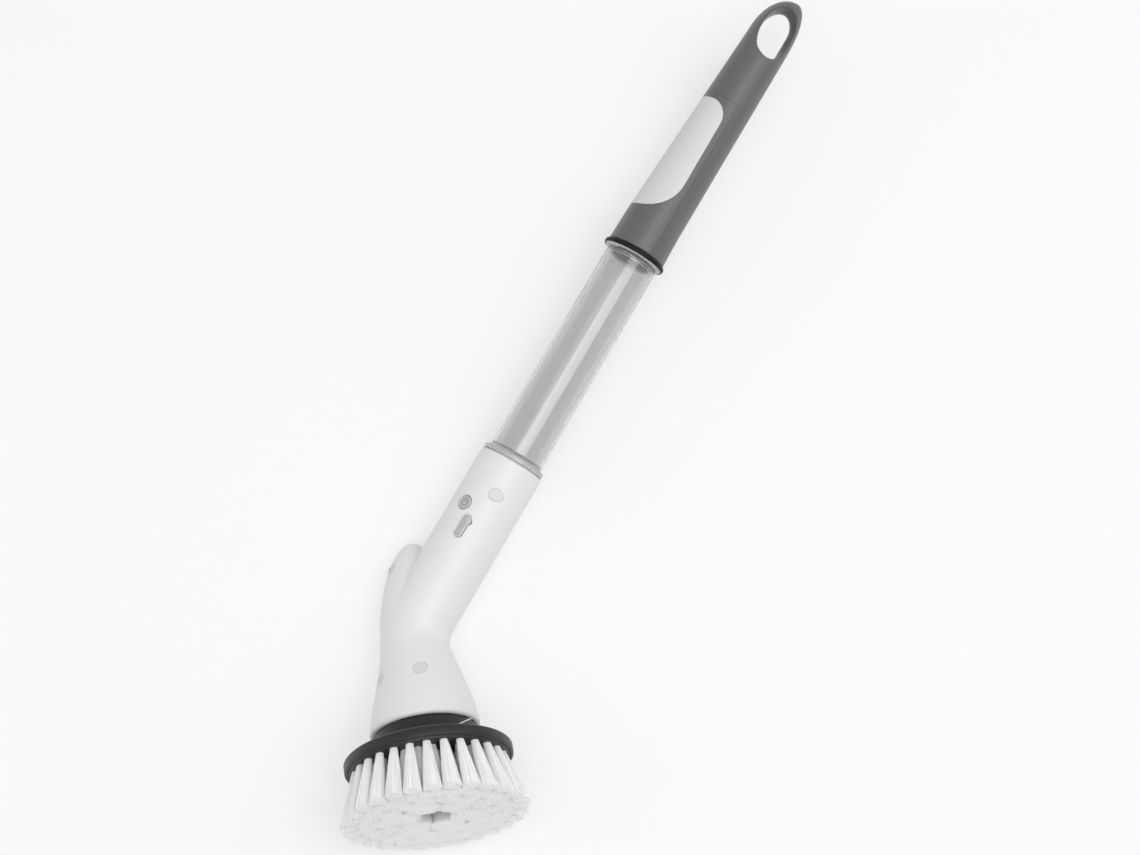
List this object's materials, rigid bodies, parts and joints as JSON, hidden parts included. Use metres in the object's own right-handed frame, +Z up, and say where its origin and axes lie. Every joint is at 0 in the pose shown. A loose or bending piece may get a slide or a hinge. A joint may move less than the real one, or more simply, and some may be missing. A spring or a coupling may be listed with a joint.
{
  "type": "electric spin scrubber",
  "caption": "Handheld electric spin scrubber: bent white motor body, clear tube, grey grip with a hang hole, and a round spinning brush with fanned bristles.",
  "frame": {"origin": "bottom centre of the bounding box, with the tool lying on its side on a table", "axes": "+X along the handle from the brush end to the hang hole, +Z up from the table, +Y to the outer side of the bend"},
  "size_m": [0.5436, 0.1368, 0.107],
  "materials": {
    "white_shell": "satin",
    "plug_white": "satin",
    "clear_tube": "clear, polished",
    "clear_ring": "clear",
    "rubber": "matte",
    "grip_grey": "satin",
    "pad_white": "soft satin",
    "button_grey": "satin",
    "cover_grey": "soft matte",
    "brush_black": "fine grain",
    "bristle_white": "nylon filament",
    "nylon": "natural nylon",
    "steel": "plain",
    "brass": "plain",
    "motor_can": "plated",
    "cell_wrap": "shrink wrap",
    "board_green": "satin",
    "lead_red": "insulated wire",
    "switch_black": "satin"
  },
  "bodies": {
    "handle": {"housing_front": "white_shell", "housing_rear": "white_shell", "lower_plug": "white_shell", "button_guide": "white_shell", "base_plate": "white_shell", "screw_plug_1": "plug_white", "screw_plug_2": "plug_white", "screw_plug_3": "plug_white", "screw_plug_4": "plug_white", "housing_screw_1": "steel", "housing_screw_2": "steel", "housing_screw_3": "steel", "housing_screw_4": "steel", "battery_strap_low": "steel", "battery_strap_top": "steel", "charge_socket": "steel", "output_bearing": "steel", "clear_tube": "clear_tube", "grip_spigot": "clear_ring", "tube_gasket": "rubber", "motor_lead_2": "rubber", "shaft_seal": "rubber", "motor_lead_1": "lead_red", "battery_cell": "cell_wrap", "battery_cradle": "nylon", "gear_case": "nylon", "gear_cover": "nylon", "tact_switch": "switch_black", "control_board": "board_green", "grip_body": "grip_grey", "grip_cover": "grip_grey", "thumb_pad": "pad_white", "motor": "motor_can"},
    "brush": {"brush_hub": "brush_black", "brush_plate": "brush_black", "bristles": "bristle_white", "brush_screw": "steel", "planet_carrier": "steel"},
    "rotor": {"motor_rotor": "brass"},
    "planet_a": {"planet_gear_1": "nylon"},
    "planet_b": {"planet_gear_2": "nylon"},
    "planet_c": {"planet_gear_3": "nylon"},
    "button": {"power_button": "button_grey"},
    "port_flap": {"port_cover": "cover_grey"}
  },
  "joints": [
    {"name": "brush_spin", "type": "hinge", "parent": "handle", "child": "brush", "pos_m": [-0.20156, 0.00198, 0.04197], "axis": [-0.7519, -0.5769, 0.3192], "continuous": true},
    {"name": "rotor_spin", "type": "hinge", "parent": "handle", "child": "rotor", "pos_m": [-0.20156, 0.00198, 0.04197], "axis": [-0.7519, -0.5769, 0.3192], "continuous": true},
    {"name": "planet_a_spin", "type": "hinge", "parent": "brush", "child": "planet_a", "pos_m": [-0.16378, 0.02423, 0.03019], "axis": [-0.7519, -0.5769, 0.3192], "continuous": true},
    {"name": "planet_b_spin", "type": "hinge", "parent": "brush", "child": "planet_b", "pos_m": [-0.16943, 0.02703, 0.02193], "axis": [-0.7519, -0.5769, 0.3192], "continuous": true},
    {"name": "planet_c_spin", "type": "hinge", "parent": "brush", "child": "planet_c", "pos_m": [-0.16996, 0.03257, 0.0307], "axis": [-0.7519, -0.5769, 0.3192], "continuous": true},
    {"name": "button_press", "type": "slide", "parent": "handle", "child": "button", "axis": [0.0484, -0.591, -0.8052], "range_m": [0, 0.0008], "stiffness_N_per_m": 1500, "springref_m": -0.0004},
    {"name": "port_flap_hinge", "type": "hinge", "parent": "handle", "child": "port_flap", "pos_m": [-0.09759, 0.04362, 0.04412], "axis": [-0.0173, -0.9577, 0.2873], "range_deg": [0, 100], "stiffness_Nm_per_rad": 0.002}
  ],
  "couplings": [
    {"joint": "rotor_spin", "follows": "brush_spin", "ratio": 4},
    {"joint": "planet_a_spin", "follows": "brush_spin", "ratio": -3},
    {"joint": "planet_b_spin", "follows": "brush_spin", "ratio": -3},
    {"joint": "planet_c_spin", "follows": "brush_spin", "ratio": -3}
  ]
}
